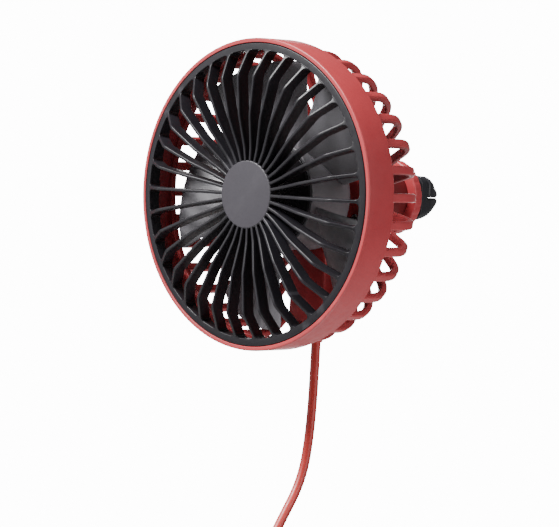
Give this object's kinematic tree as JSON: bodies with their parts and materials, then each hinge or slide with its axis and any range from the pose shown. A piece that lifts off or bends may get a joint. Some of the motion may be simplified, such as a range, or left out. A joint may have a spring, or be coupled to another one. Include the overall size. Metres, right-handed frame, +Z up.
{
  "type": "car vent fan",
  "caption": "Small round fan with a caged impeller, on a ball joint with a pronged clip for a car's air vent, powered by a cord that ends in a plug.",
  "frame": {"origin": "middle of the louvre slot between the clip's prongs", "axes": "+Y points back into the vent, away from the fan's face; +Z is up; +X is to the fan's left side as it blows, the right of a viewer who faces its grille"},
  "size_m": [0.106, 0.1006, 0.2757],
  "materials": {
    "red_plastic": "satin moulded",
    "black_plastic": "fine matte texture",
    "silver_plastic": "silver grey, satin",
    "dark_cap": "dark satin",
    "grey_plastic": "smooth",
    "white_nylon": "smooth",
    "grip_rubber": "soft matte",
    "red_cord": "smooth vinyl",
    "steel": "plated",
    "plug_metal": "nickel plated",
    "bronze": "bare",
    "magnet": "sintered ferrite",
    "board": "green solder mask"
  },
  "bodies": {
    "clip": {"vent_clip": "black_plastic", "clip_grips": "grip_rubber"},
    "stud": {"ball_stud": "grey_plastic", "stud_washer": "steel", "stud_screw": "steel"},
    "head": {"rear_housing": "red_plastic", "front_grille": "black_plastic", "motor_cover": "red_plastic", "socket_nut": "red_plastic", "box_lid": "red_plastic", "circuit_board": "board", "tact_switch": "black_plastic", "cord_grommet": "red_cord", "lead_wires": "red_cord", "cover_screws": "steel", "motor_screws": "steel", "lid_screws": "steel", "motor_can": "steel", "motor_end_cap": "white_nylon", "motor_magnets": "magnet", "front_bush": "bronze", "rear_bush": "bronze", "motor_brushes": "bronze", "usb_cord": "red_cord", "cord_coil": "red_cord", "cord_tie": "grip_rubber", "cord_tail": "red_cord", "plug_overmould": "red_cord", "plug_shell": "plug_metal", "plug_tongue": "white_nylon"},
    "rotor": {"motor_shaft": "steel", "armature_core": "steel", "armature_windings": "bronze", "commutator": "bronze", "impeller": "silver_plastic", "hub_cap": "dark_cap"},
    "button": {"speed_button": "black_plastic"}
  },
  "joints": [
    {"name": "clip_swivel", "type": "hinge", "parent": "clip", "child": "stud", "pos_m": [0, -0.009, 0], "axis": [0, 1, 0], "range_deg": [-180, 180]},
    {"name": "head_tilt", "type": "hinge", "parent": "stud", "child": "head", "pos_m": [0, -0.02, 0], "axis": [1, 0, 0], "range_deg": [-20, 20]},
    {"name": "fan_spin", "type": "hinge", "parent": "head", "child": "rotor", "pos_m": [0, -0.05, 0], "axis": [0, 1, 0], "continuous": true},
    {"name": "button_press", "type": "slide", "parent": "head", "child": "button", "axis": [0, -1, 0], "range_m": [0, 0.0008], "stiffness_N_per_m": 400, "springref_m": -0.0003}
  ]
}
